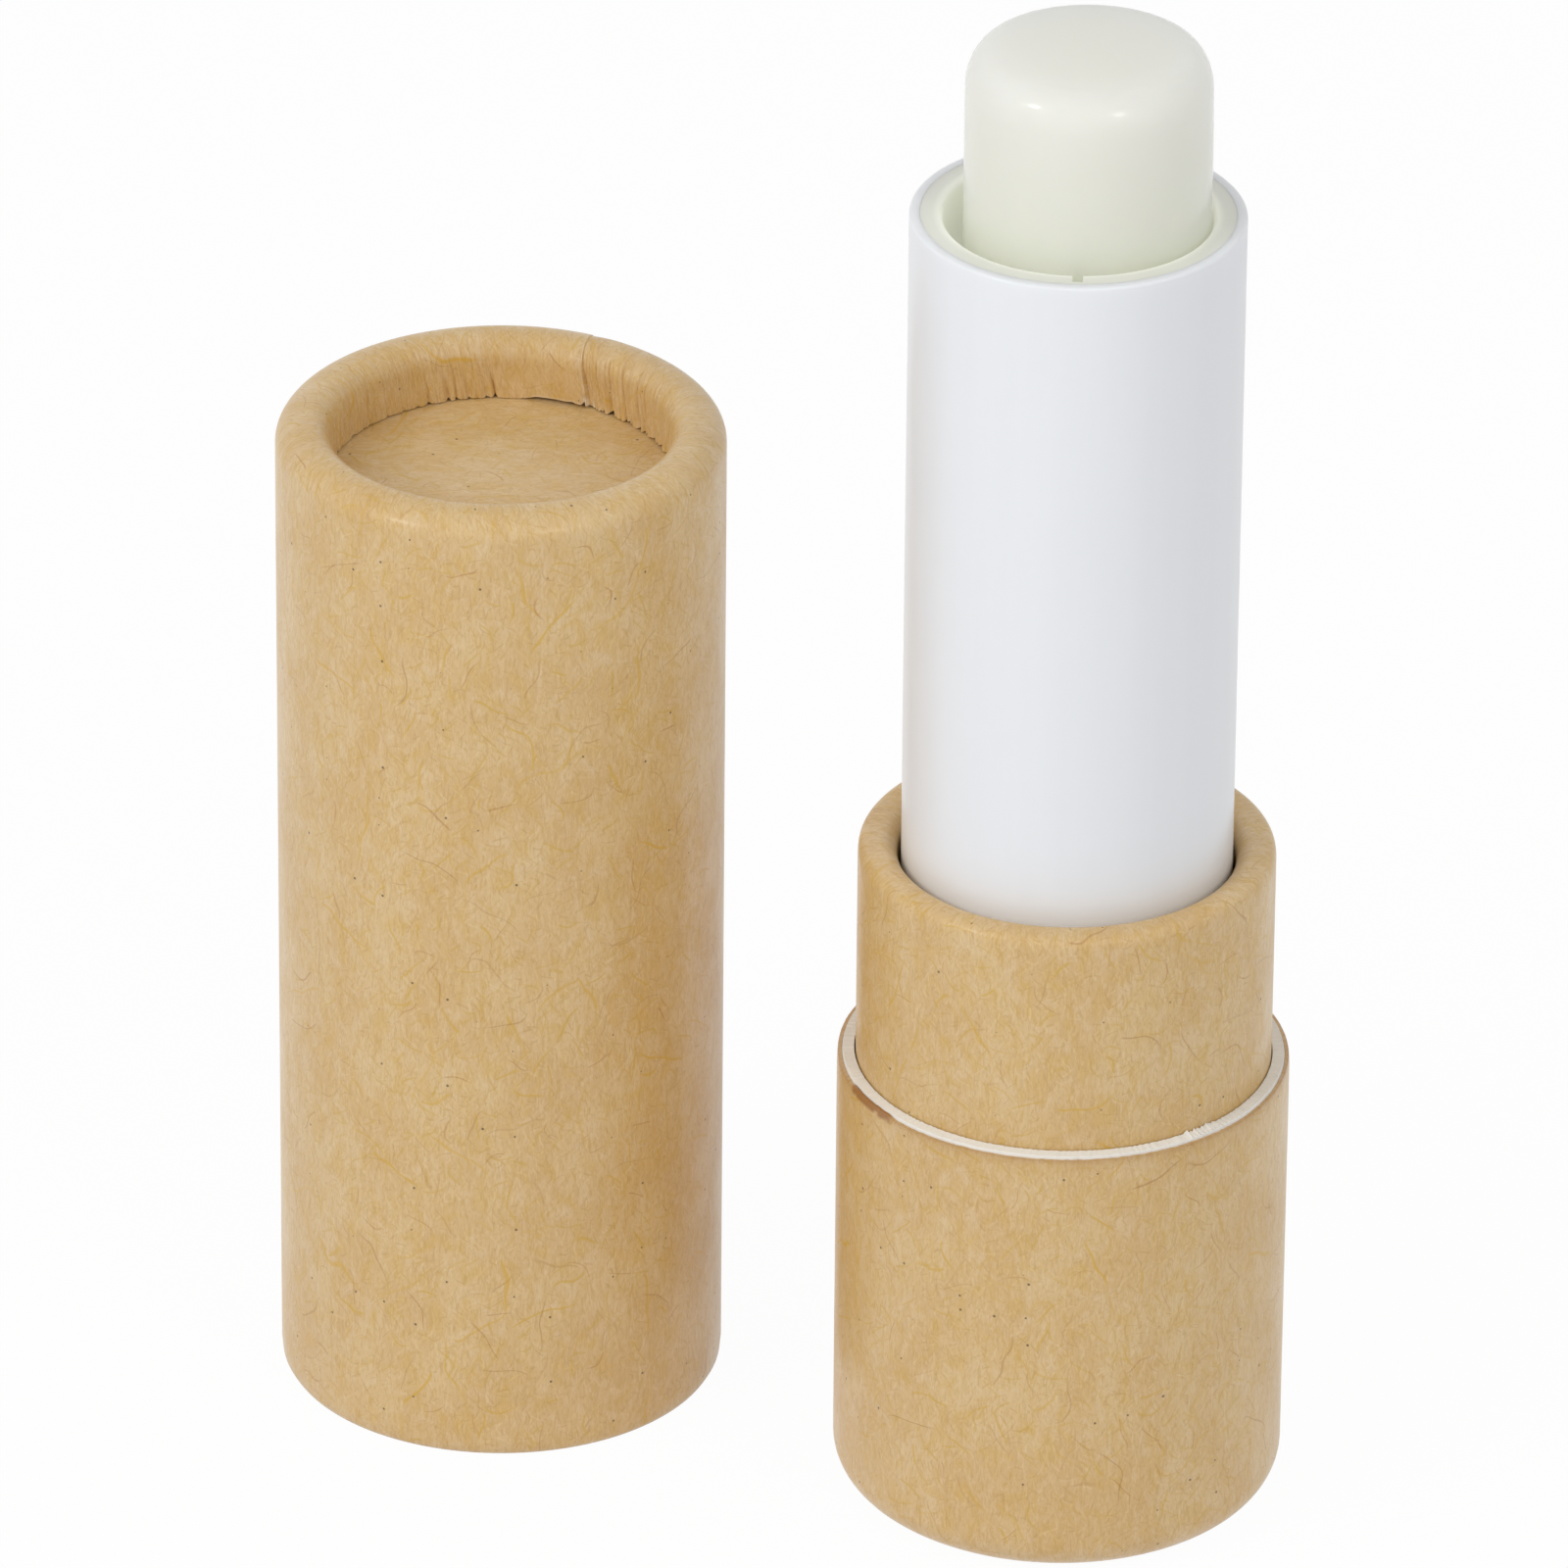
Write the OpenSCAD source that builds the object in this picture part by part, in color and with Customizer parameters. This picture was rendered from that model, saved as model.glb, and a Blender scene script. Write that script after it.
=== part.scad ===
// Lip balm stick in a kraft paper tube, shown as in use: the pull-off cap stands beside it, mouth
// down, and the balm is wound part of the way out of its barrel.
// Origin: centre of the foot, on the stick's own axis. +Z up, the cap stands towards -X.
// Every ring is worked out from the balm outwards, so a change of one wall moves all that lie round it.

/* [Balm] */
// Diameter of the balm
balm_d = 11.8; // [8:0.1:16]
// Height of the balm above the barrel's rim, as shown
balm_show = 8.7; // [0:0.1:20]
// Width of the worn rounding at the balm's top edge
balm_edge_w = 1.3; // [0.4:0.1:3]
// Height of the worn rounding at the balm's top edge
balm_edge_h = 2; // [0.4:0.1:4]
// Rise of the slightly domed top
balm_crown = 0.1; // [0.1:0.1:1]

/* [Travel] */
// How far the balm can still be wound down from where it is shown
drop_left = 10; // [4:1:14]
// How far the balm can still be wound up from where it is shown
rise_left = 28; // [10:1:30]
// Rise of the balm for one turn of the barrel
pitch = 4; // [3:0.5:6]

/* [Barrel] */
// Wall of the white outer barrel
barrel_wall = 0.5; // [0.4:0.05:1.2]
// Wall of the guide sleeve inside it
guide_wall = 1.05; // [0.9:0.05:2]
// Length of barrel that stands out of the neck
barrel_show = 33.6; // [26:0.1:45]
// Thickness of the barrel's floor
barrel_floor = 1; // [0.8:0.1:1.6]
// Width of the two key grooves in the guide sleeve
groove_w = 0.7; // [0.6:0.1:1.6]
// Depth of the key grooves
groove_depth = 0.6; // [0.3:0.05:0.8]
// Direction in which the first key groove faces
groove_turn = -69; // [-180:1:180]

/* [Carriage] */
// Wall of the cup that holds the balm
cup_wall = 0.35; // [0.3:0.05:0.8]
// Height of the cup's wall above the nut
cup_rim = 1.9; // [0.5:0.1:4]
// Thickness of the cup's floor
cup_floor = 1.6; // [1:0.1:2.5]
// Length of the nut beyond one turn of the helix
nut_rim = 0.6; // [0.4:0.1:2]
// Wall of the nut
nut_wall = 1; // [0.8:0.05:1.4]
// Thickness of the fins that anchor the balm
fin_t = 0.5; // [0.3:0.1:1]
// Height of the fins above the cup's floor
fin_h = 3.6; // [2:0.1:5]

/* [Lead screw] */
// Diameter of the screw's core
screw_core_d = 3.4; // [2.6:0.1:4.5]
// Height of the drive helix above the core
screw_rib = 0.9; // [0.5:0.05:1.2]
// Diameter of the plain foot that is pressed into the wheel
screw_foot_d = 3; // [2.4:0.1:3.4]
// Length of that foot
screw_foot_len = 3.4; // [2.6:0.1:4]
// Height of the plain collar between foot and helix
collar_h = 1.1; // [0.8:0.1:3]

/* [Drive wheel] */
// Thickness of the web between the splined pocket and the bore for the screw
wheel_web = 0.65; // [0.4:0.05:2]
// Diameter of the hub on which the barrel turns
hub_d = 6; // [5.6:0.1:7]
// How far the snap edge stands out over the hub
snap_lip = 0.5; // [0.3:0.05:0.8]
// Height of the snap edge
snap_h = 1.2; // [0.8:0.1:2]

/* [Insert] */
// Thickness of the floor of the insert, which is glued into the neck
insert_floor = 1.2; // [0.8:0.1:3]
// Height of the insert
insert_h = 15; // [11:0.5:18]
// Number of splines that lock the wheel
splines = 12; // [6:1:18]
// Diameter over the splines
spline_d = 8.8; // [7:0.1:11]
// Depth of the splines
spline_depth = 0.6; // [0.3:0.1:1]
// Height of the splined boss
spline_h = 2.6; // [1.5:0.1:3]
// Width of each glue groove round the insert
glue_groove_w = 1.4; // [0.8:0.1:2]
// Depth of each glue groove
glue_groove_depth = 0.3; // [0.1:0.05:0.5]

/* [Paper] */
// Thickness of the kraft skin
kraft_t = 0.25; // [0.15:0.01:0.35]
// Thickness of the board in the neck and the base
board_t = 0.6; // [0.4:0.05:0.75]
// Thickness of the board in the cap
cap_board_t = 0.5; // [0.4:0.05:0.75]
// Thickness of the board of the two end discs
disc_t = 1.2; // [0.8:0.1:2.5]

/* [Neck] */
// Free width left inside each half of the neck's rolled rim
neck_core = 0.075; // [0.05:0.005:0.75]
// Length of the tucked-in end of the neck's rim
neck_tuck = 1.5; // [1.2:0.1:4]
// Length of neck that stands out of the base
neck_show = 11.5; // [8:0.1:20]

/* [Base] */
// Height of the cut edge of the base sleeve above the foot
base_h = 23.5; // [20:0.1:40]
// Inside width of the foot's outer rounding
foot_out_core = 1.25; // [0.4:0.05:2]
// Inside width of the foot's inner rounding
foot_in_core = 0.15; // [0.05:0.05:1]
// Inside height of the foot's roundings
foot_high_core = 1.25; // [0.4:0.05:2]
// Straight end of the foot's inner wall, up to the bottom disc
foot_leg = 0.5; // [0.2:0.1:2]

/* [Cap] */
// Inside width of the outer rounding of the cap's rim
crown_out_core = 0.75; // [0.2:0.05:2]
// Inside width of the inner rounding of the cap's rim
crown_in_core = 0.35; // [0.05:0.05:1.5]
// Inside height of the roundings of the cap's rim
crown_high_core = 0.55; // [0.2:0.05:1.5]
// Straight end of the cap rim's inner wall, down to the top disc
crown_leg = 1.9; // [0.4:0.1:4]
// Thickness of the board left at the cap's mouth, where the wall is nipped in
mouth_edge_t = 0.15; // [0.1:0.05:0.35]
// Height of the nipped-in part of the cap's mouth
mouth_nip_h = 0.7; // [0.3:0.1:2]
// Free height over the barrel inside the closed cap
cap_headroom = 2.1; // [1:0.1:5]
// Distance between the axes of stick and cap, as they stand
cap_apart = 29.64; // [28:0.01:60]

/* [Fits] */
// Sliding gap between the cup and the bore of the guide sleeve
cup_gap = 0.1; // [0.05:0.01:0.2]
// Gap round parts that are pressed or glued together
seat_gap = 0.05; // [0.02:0.01:0.1]
// Running gap of parts that turn or slide
run_gap = 0.15; // [0.1:0.01:0.2]
// Gap between neck and cap
slip_gap = 0.08; // [0.05:0.01:0.15]
// Gap between drive helix and followers, and between helix and balm
helix_gap = 0.25; // [0.15:0.05:0.4]

/* [Hidden] */
$fn = 96;
arc_steps = 8;      // straight pieces in each rounded quarter of a rim
rim_flat = 0.1;     // flat crest of a rolled rim
foot_flat = 0.5;    // flat ring on which the base stands
rim_soft = 0.15;    // broken edge on moulded rims
over = 1;           // how far a cut runs past what it cuts
glue_grooves = 3;   // number of glue grooves round the insert
screw_sides = 12;   // sides of the drive helix, and rings in one turn of it
helix_fade = 0.5;   // part of a turn in which the helix rises out of the core

neck_layers = kraft_t + board_t;
cap_layers = kraft_t + cap_board_t;
neck_roll = neck_layers + neck_core;
foot_out = neck_layers + foot_out_core;
foot_in = neck_layers + foot_in_core;
foot_high = neck_layers + foot_high_core;
foot_recess = foot_high + foot_leg;
crown_out = cap_layers + crown_out_core;
crown_in = cap_layers + crown_in_core;
crown_high = cap_layers + crown_high_core;

balm_r = balm_d / 2;
cup_r = balm_r + seat_gap + cup_wall;
guide_bore_r = cup_r + cup_gap;
guide_r = guide_bore_r + guide_wall;
barrel_bore_r = guide_r + seat_gap;
barrel_r = barrel_bore_r + barrel_wall;
lip_r = barrel_r + run_gap;
neck_r = lip_r + 2 * neck_roll + rim_flat;
neck_bore_r = neck_r - neck_layers;
base_r = neck_r + seat_gap + neck_layers;
cap_r = neck_r + slip_gap + cap_layers;
insert_r = neck_bore_r - seat_gap;
insert_bore_r = barrel_r + run_gap;
wheel_r = barrel_r - rim_soft;
hub_r = hub_d / 2;
barrel_eye_r = hub_r + run_gap;
screw_r = screw_core_d / 2 + screw_rib;
screw_foot_r = screw_foot_d / 2;
nut_r = screw_r + helix_gap + nut_wall;
nut_len = pitch + nut_rim;
cup_h = nut_len + cup_rim;

floor_z = foot_recess + kraft_t + disc_t;
wheel_z = floor_z + insert_floor + seat_gap;
pocket_top_z = wheel_z + spline_h + seat_gap;
screw_bore_z = pocket_top_z + wheel_web;
screw_foot_z = screw_bore_z + seat_gap;
collar_z = screw_foot_z + screw_foot_len;
hub_top_z = collar_z - seat_gap;
lip_z = hub_top_z - snap_h;
barrel_floor_z = lip_z - run_gap;
barrel_z = barrel_floor_z - barrel_floor;
shoulder_z = barrel_z - run_gap;
helix_z = collar_z + collar_h;
home_z = helix_z + helix_gap;
carriage_z = home_z + drop_left;
screw_top_z = home_z + drop_left + rise_left + nut_len;
neck_top_z = base_h + neck_show;
barrel_top_z = neck_top_z + barrel_show;
balm_top_z = barrel_top_z + balm_show;
cap_disc_z = barrel_top_z - base_h + cap_headroom;
cap_face_z = cap_disc_z + disc_t;
cap_top_z = cap_face_z + kraft_t;
cap_h = cap_top_z + crown_leg + crown_high;

// Points of a quarter of an ellipse round [cx, cz], from one angle to another
function quarter(cx, cz, a, b, from, to) = [
    for (i = [0:arc_steps])
        let (t = from + (to - from) * i / arc_steps)
        [cx + a * cos(t), cz + b * sin(t)]
];

function reversed(v) = [for (i = [len(v) - 1:-1:0]) v[i]];

// Outer line of a wall near its mouth, straight or nipped in by nip = [depth, height]
function mouth_line(r, mouth, nip) =
    nip[0] == 0 ? [[r, mouth]] : quarter(r - nip[0], mouth + nip[1], nip[0], nip[1], -90, 0);

// Line that lies t inside the outer surface of a rolled rim: up the wall from the mouth, over the
// crest and down the tucked-in leg. rim = [outer width, flat, inner width, height of the roundings]
function rim_line(r, top, rim, mouth, leg, t, nip) = concat(
    mouth_line(r - t, mouth, nip),
    quarter(r - rim[0], top - rim[3], rim[0] - t, rim[3] - t, 0, 90),
    quarter(r - rim[0] - rim[1], top - rim[3], rim[2] - t, rim[3] - t, 90, 180),
    [[r - rim[0] - rim[1] - rim[2] + t, leg]]
);

// One layer of a paper tube with a rolled rim, between the depths t0 and t1, each with its own nip
module rolled_layer(r, top, rim, mouth, leg, t0, t1, nip0 = [0, 0], nip1 = [0, 0]) {
    rotate_extrude()
        polygon(concat(
            rim_line(r, top, rim, mouth, leg, t0, nip0),
            reversed(rim_line(r, top, rim, mouth, leg, t1, nip1))
        ));
}

// Disc of paper or board between two heights
module paper_disc(r, low, high) {
    translate([0, 0, low])
        cylinder(r = r, h = high - low);
}

module at_cap() {
    translate([-cap_apart, 0, 0])
        children();
}

cap_rim = [crown_out, rim_flat, crown_in, crown_high];
neck_rim = [neck_roll, rim_flat, neck_roll, neck_roll];
foot_rim = [foot_out, foot_flat, foot_in, foot_high];
mouth_nip = [cap_board_t - mouth_edge_t, mouth_nip_h];

module cap_layer(t0, t1, nip1) {
    at_cap()
        rolled_layer(cap_r, cap_h, cap_rim, 0, cap_top_z, t0, t1, mouth_nip, nip1);
}

module neck_layer(t0, t1) {
    rolled_layer(neck_r, neck_top_z, neck_rim, floor_z, neck_top_z - neck_roll - neck_tuck, t0, t1);
}

// The base sleeve is the same rolled rim upside down, so its open end looks up
module base_layer(t0, t1) {
    mirror([0, 0, 1])
        rolled_layer(base_r, 0, foot_rim, -base_h, -foot_recess, t0, t1);
}

module cap_wrap() {
    color("#cfae7c") cap_layer(0, kraft_t, mouth_nip);
}

module cap_tube() {
    color("#e6e1d3") cap_layer(kraft_t, cap_layers, [0, 0]);
}

module cap_disc_face() {
    color("#c9a672")
        at_cap() paper_disc(neck_r, cap_face_z, cap_top_z);
}

module cap_disc_board() {
    color("#dcd6c6")
        at_cap() paper_disc(neck_r, cap_disc_z, cap_face_z);
}

module base_wrap() {
    color("#cba878") base_layer(0, kraft_t);
}

module base_tube() {
    color("#e6e1d3") base_layer(kraft_t, neck_layers);
}

module base_disc_face() {
    color("#c9a672") paper_disc(neck_r, foot_recess, foot_recess + kraft_t);
}

module base_disc_board() {
    color("#dcd6c6") paper_disc(neck_r, foot_recess + kraft_t, floor_z);
}

module neck_wrap() {
    color("#c9a573") neck_layer(0, kraft_t);
}

module neck_tube() {
    color("#e6e1d3") neck_layer(kraft_t, neck_layers);
}

// Outline of a splined shaft, grown by a fitting gap
module spline_outline(gap) {
    tip = spline_d / 2 + gap;
    root = tip - spline_depth;
    step = 360 / splines;
    share = [[0.04, root], [0.16, tip], [0.54, tip], [0.66, root]];
    polygon([
        for (i = [0:splines - 1], s = share)
            [s[1] * cos((i + s[0]) * step), s[1] * sin((i + s[0]) * step)]
    ]);
}

// Cup glued into the foot of the neck. The splined boss on its floor locks the drive wheel
module base_insert() {
    groove_step = insert_h / (glue_grooves + 1);
    color("#eceef0")
        difference() {
            union() {
                difference() {
                    translate([0, 0, floor_z])
                        cylinder(r = insert_r, h = insert_h);
                    translate([0, 0, floor_z + insert_floor])
                        cylinder(r = insert_bore_r, h = insert_h);
                }
                translate([0, 0, floor_z + insert_floor / 2])
                    linear_extrude(insert_floor / 2 + spline_h)
                        spline_outline(0);
            }
            for (i = [1:glue_grooves])
                translate([0, 0, floor_z + i * groove_step - glue_groove_w / 2])
                    difference() {
                        cylinder(r = insert_r + over, h = glue_groove_w);
                        cylinder(r = insert_r - glue_groove_depth, h = glue_groove_w);
                    }
        }
}

// Wheel under the barrel: splined pocket below, hub and snap edge above, bore for the lead screw
module drive_wheel() {
    color("#e4e6e8")
        difference() {
            union() {
                translate([0, 0, wheel_z])
                    cylinder(r = wheel_r, h = shoulder_z - wheel_z);
                translate([0, 0, wheel_z])
                    cylinder(r = hub_r, h = hub_top_z - wheel_z);
                translate([0, 0, lip_z])
                    cylinder(r1 = hub_r + snap_lip, r2 = hub_r - rim_soft, h = snap_h);
            }
            translate([0, 0, wheel_z - over])
                linear_extrude(pocket_top_z - wheel_z + over)
                    spline_outline(seat_gap);
            translate([0, 0, screw_bore_z])
                cylinder(r = screw_foot_r + seat_gap, h = screw_foot_len + over);
        }
}

// Height of the drive helix at a phase from 0 to 1: a trapezium over the first half of the turn
function rib_share(phase) =
    phase < 0.1 ? phase / 0.1 :
    phase < 0.4 ? 1 :
    phase < 0.5 ? (0.5 - phase) / 0.1 : 0;

// Share of full height near the two ends of the helix
function rib_fade(z) =
    max(0, min(1, min(z - helix_z, screw_top_z - z) / (pitch * helix_fade)));

function screw_radius(z, turn) =
    let (phase = (z - carriage_z) / pitch + turn / 360 + 100)
    screw_core_d / 2 + screw_rib * rib_fade(z) * rib_share(phase - floor(phase));

// Plain foot, collar and left-hand drive helix in one skin. The rings are spaced so that the
// corners of each ring and of the next lie on one and the same helix
module lead_screw() {
    ring_step = pitch / screw_sides;
    ring_count = floor((screw_top_z - helix_z) / ring_step);
    plain = [
        [screw_foot_z, screw_foot_r],
        [collar_z, screw_foot_r],
        [collar_z, screw_r],
        [helix_z - ring_step, screw_r],
        [helix_z - ring_step / 2, screw_core_d / 2]
    ];
    rings = concat(
        [for (p = plain) [for (j = [0:screw_sides - 1])
            let (turn = 360 * j / screw_sides)
            [p[1] * cos(turn), p[1] * sin(turn), p[0]]]],
        [for (i = [0:ring_count]) [for (j = [0:screw_sides - 1])
            let (turn = 360 * j / screw_sides, z = helix_z + i * ring_step, r = screw_radius(z, turn))
            [r * cos(turn), r * sin(turn), z]]]
    );
    last = len(rings) - 1;
    sides = screw_sides;
    color("#dfe2e4")
        polyhedron(
            points = [for (ring = rings) for (p = ring) p],
            faces = concat(
                [[for (j = [0:sides - 1]) j]],
                [for (i = [0:last - 1], j = [0:sides - 1])
                    let (k = (j + 1) % sides)
                    [i * sides + j, (i + 1) * sides + j, i * sides + k]],
                [for (i = [0:last - 1], j = [0:sides - 1])
                    let (k = (j + 1) % sides)
                    [i * sides + k, (i + 1) * sides + j, (i + 1) * sides + k]],
                [[for (j = [sides - 1:-1:0]) last * sides + j]]
            )
        );
}

// White barrel: its floor snaps over the hub of the drive wheel, its rim is softly broken
module barrel() {
    color("#eef0f3")
        rotate_extrude()
            polygon([
                [barrel_eye_r, barrel_z],
                [barrel_r - rim_soft, barrel_z],
                [barrel_r, barrel_z + rim_soft],
                [barrel_r, barrel_top_z - rim_soft],
                [barrel_r - rim_soft, barrel_top_z],
                [barrel_bore_r, barrel_top_z],
                [barrel_bore_r, barrel_floor_z],
                [barrel_eye_r, barrel_floor_z]
            ]);
}

// Sleeve of natural plastic pressed into the barrel, with the two grooves that keep the carriage
// from turning
module guide_sleeve() {
    color("#dfe1d6")
        difference() {
            rotate_extrude()
                polygon([
                    [guide_bore_r, barrel_floor_z + seat_gap],
                    [guide_r, barrel_floor_z + seat_gap],
                    [guide_r, barrel_top_z - seat_gap],
                    [guide_bore_r + rim_soft, barrel_top_z - seat_gap],
                    [guide_bore_r, barrel_top_z - seat_gap - rim_soft]
                ]);
            for (half = [0, 180])
                rotate([0, 0, groove_turn + half])
                    translate([0, -groove_w / 2, barrel_floor_z])
                        cube([guide_bore_r + groove_depth, groove_w, barrel_top_z]);
        }
}

// Four upright fins between nut and cup wall, which the balm is poured round
module balm_fins() {
    reach = cup_r - cup_wall / 2;
    for (quarter_turn = [0:90:270])
        rotate([0, 0, groove_turn + 45 + quarter_turn])
            translate([nut_r - nut_wall / 2, -fin_t / 2, carriage_z + cup_floor / 2])
                cube([reach - nut_r + nut_wall / 2, fin_t, cup_floor / 2 + fin_h]);
}

// Cup that carries the balm. Two pegs in its nut follow the helix, two keys slide in the grooves
module carriage() {
    follower_r = pitch / 4 - helix_gap;
    key_root = cup_r - cup_wall / 2;
    key_reach = guide_bore_r + groove_depth - run_gap;
    color("#e8eaeb")
        difference() {
            union() {
                translate([0, 0, carriage_z])
                    cylinder(r = cup_r, h = cup_h);
                for (half = [0, 180])
                    rotate([0, 0, groove_turn + half])
                        translate([key_root, run_gap - groove_w / 2, carriage_z])
                            cube([key_reach - key_root, groove_w - 2 * run_gap, cup_h]);
            }
            difference() {
                translate([0, 0, carriage_z + cup_floor])
                    cylinder(r = cup_r - cup_wall, h = cup_h);
                translate([0, 0, carriage_z])
                    cylinder(r = nut_r, h = nut_len);
                balm_fins();
            }
            translate([0, 0, carriage_z - over])
                difference() {
                    cylinder(r = screw_r + helix_gap, h = cup_h + 2 * over);
                    for (side = [0, 1])
                        translate([0, 0, over + follower_z(side)])
                            rotate([0, 90, 180 * side])
                                translate([0, 0, screw_core_d / 2 + helix_gap])
                                    cylinder(r = follower_r, h = screw_r, $fn = 32);
                }
        }
}

// Height of a follower peg above the carriage's foot: in the middle of the free half of the helix
function follower_z(side) = pitch * (side == 0 ? 0.75 : 0.25);

// Balm poured round the screw, the nut and the fins, and worn round at its top edge
module balm() {
    foot_z = carriage_z + cup_floor;
    core_r = screw_r + helix_gap;
    core_top_z = screw_top_z + drop_left + helix_gap;
    edge_z = balm_top_z - balm_crown - balm_edge_h;
    flat_r = balm_r - balm_edge_w;
    color("#e7e9d8")
        difference() {
            rotate_extrude()
                polygon(concat(
                    [[nut_r + seat_gap, foot_z], [balm_r, foot_z]],
                    quarter(balm_r - balm_edge_w, edge_z, balm_edge_w, balm_edge_h, 0, 90),
                    [for (i = [1:arc_steps])
                        let (share = 1 - i / arc_steps)
                        [flat_r * share, balm_top_z - balm_crown * share * share]],
                    [[0, core_top_z], [core_r, core_top_z],
                        [core_r, carriage_z + nut_len + seat_gap],
                        [nut_r + seat_gap, carriage_z + nut_len + seat_gap]]
                ));
            balm_fins();
        }
}

cap_wrap();
cap_tube();
cap_disc_face();
cap_disc_board();
base_wrap();
base_tube();
base_disc_face();
base_disc_board();
neck_wrap();
neck_tube();
base_insert();
drive_wheel();
lead_screw();
barrel();
guide_sleeve();
carriage();
balm();
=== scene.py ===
import math
import bmesh
import bpy
import numpy as np
from mathutils import Euler, Matrix, Vector


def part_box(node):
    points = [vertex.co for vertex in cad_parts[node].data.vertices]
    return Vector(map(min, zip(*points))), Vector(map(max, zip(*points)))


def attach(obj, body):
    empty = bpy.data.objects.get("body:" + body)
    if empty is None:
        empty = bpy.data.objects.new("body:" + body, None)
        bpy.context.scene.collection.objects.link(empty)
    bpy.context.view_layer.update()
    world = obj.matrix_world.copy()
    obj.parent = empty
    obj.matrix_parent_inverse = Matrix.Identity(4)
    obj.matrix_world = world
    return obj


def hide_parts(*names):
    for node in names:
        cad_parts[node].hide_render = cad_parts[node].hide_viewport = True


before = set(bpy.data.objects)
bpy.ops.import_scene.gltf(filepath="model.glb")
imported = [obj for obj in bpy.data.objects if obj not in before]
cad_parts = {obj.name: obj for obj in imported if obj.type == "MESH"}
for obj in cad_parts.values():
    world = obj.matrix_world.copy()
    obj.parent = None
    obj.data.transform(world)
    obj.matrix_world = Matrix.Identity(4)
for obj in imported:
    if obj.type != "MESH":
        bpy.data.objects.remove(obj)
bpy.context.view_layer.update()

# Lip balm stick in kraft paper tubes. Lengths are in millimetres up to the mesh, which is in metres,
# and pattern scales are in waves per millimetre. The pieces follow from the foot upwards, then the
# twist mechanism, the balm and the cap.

# Base sleeve: kraft skin
# A strip of brown kraft paper is wound round a tube of white board and glued. At the foot both are
# rolled inwards over a former, which gathers the paper into fine folds; the upper end is cut square,
# and its edge is a little burnished and frayed.

MM = 0.001              # a millimetre in metres
KRAFT_T = 0.25
FOOT_RIM = dict(out=2.1, flat=0.5, inn=1.0, high=2.1)   # outer rounding, crest, inner rounding, height
FOOT_RECESS = 2.6
PLACES = 1200           # points round a paper tube, 0.06 mm apart
BASE_SEAM = 97          # direction of the glued seam, in degrees from +X
BASE_EDGE_DROP = 0.16   # the kraft's cut edge stays this far below the board's
BASE_EDGE_REACH = 0.35  # how far down the skin the cut shows
BASE_EDGE_IN = 0.05     # how far the knife has pressed the edge in, and twice that where it is rubbed
BURNISHED = (-138, -118)    # where the edge is rubbed brown, in degrees
BURNISHED_RISE = 0.12   # the rubbed edge is smeared up the board by this much
BURNISHED_HIGH = 0.34   # height of the brown band, to 0.14 more where it is uneven
FOOT_FOLDS = (3.4, 0.1)     # pitch in degrees and depth of the folds at the foot
WALL_WAVE = 0.015       # how far the wall is uneven to each side
BARK_APART = 1.7        # mean distance between cells; one cell in three holds a speck of bark
BARK_SIZE = 0.085       # radius of the largest specks


def span(node):
    """Axis, radius, foot and top of an upright round CAD node, in millimetres."""
    low, high = (np.array(corner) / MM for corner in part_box(node))
    return (low[0] + high[0]) / 2, (high[0] - low[0]) / 2, low[2], high[2]


def soft_step(x):
    """0 below 0, 1 above 1, and 3x^2 - 2x^3 between."""
    x = np.clip(x, 0, 1)
    return x * x * (3 - 2 * x)


def ripple(angle, seed, waves, power=1.0):
    """Smooth random line round a ring: a sum of sines of 1 to `waves` turns with random phases, each
    divided by its number of turns to `power`. Its greatest size is 1."""
    dice = np.random.default_rng(seed)
    turns = np.arange(1, waves + 1)
    size = dice.uniform(0.5, 1, waves) / turns ** power
    phase = dice.uniform(0, 2 * np.pi, (waves, 1))
    line = (size[:, None] * np.sin(np.outer(turns, angle) + phase)).sum(0)
    return line / np.abs(line).max()


def length_along(line):
    """Length from the first point of a line to each of its points."""
    return np.concatenate([[0], np.cumsum(np.hypot(*np.diff(line, axis=0).T))])


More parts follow.
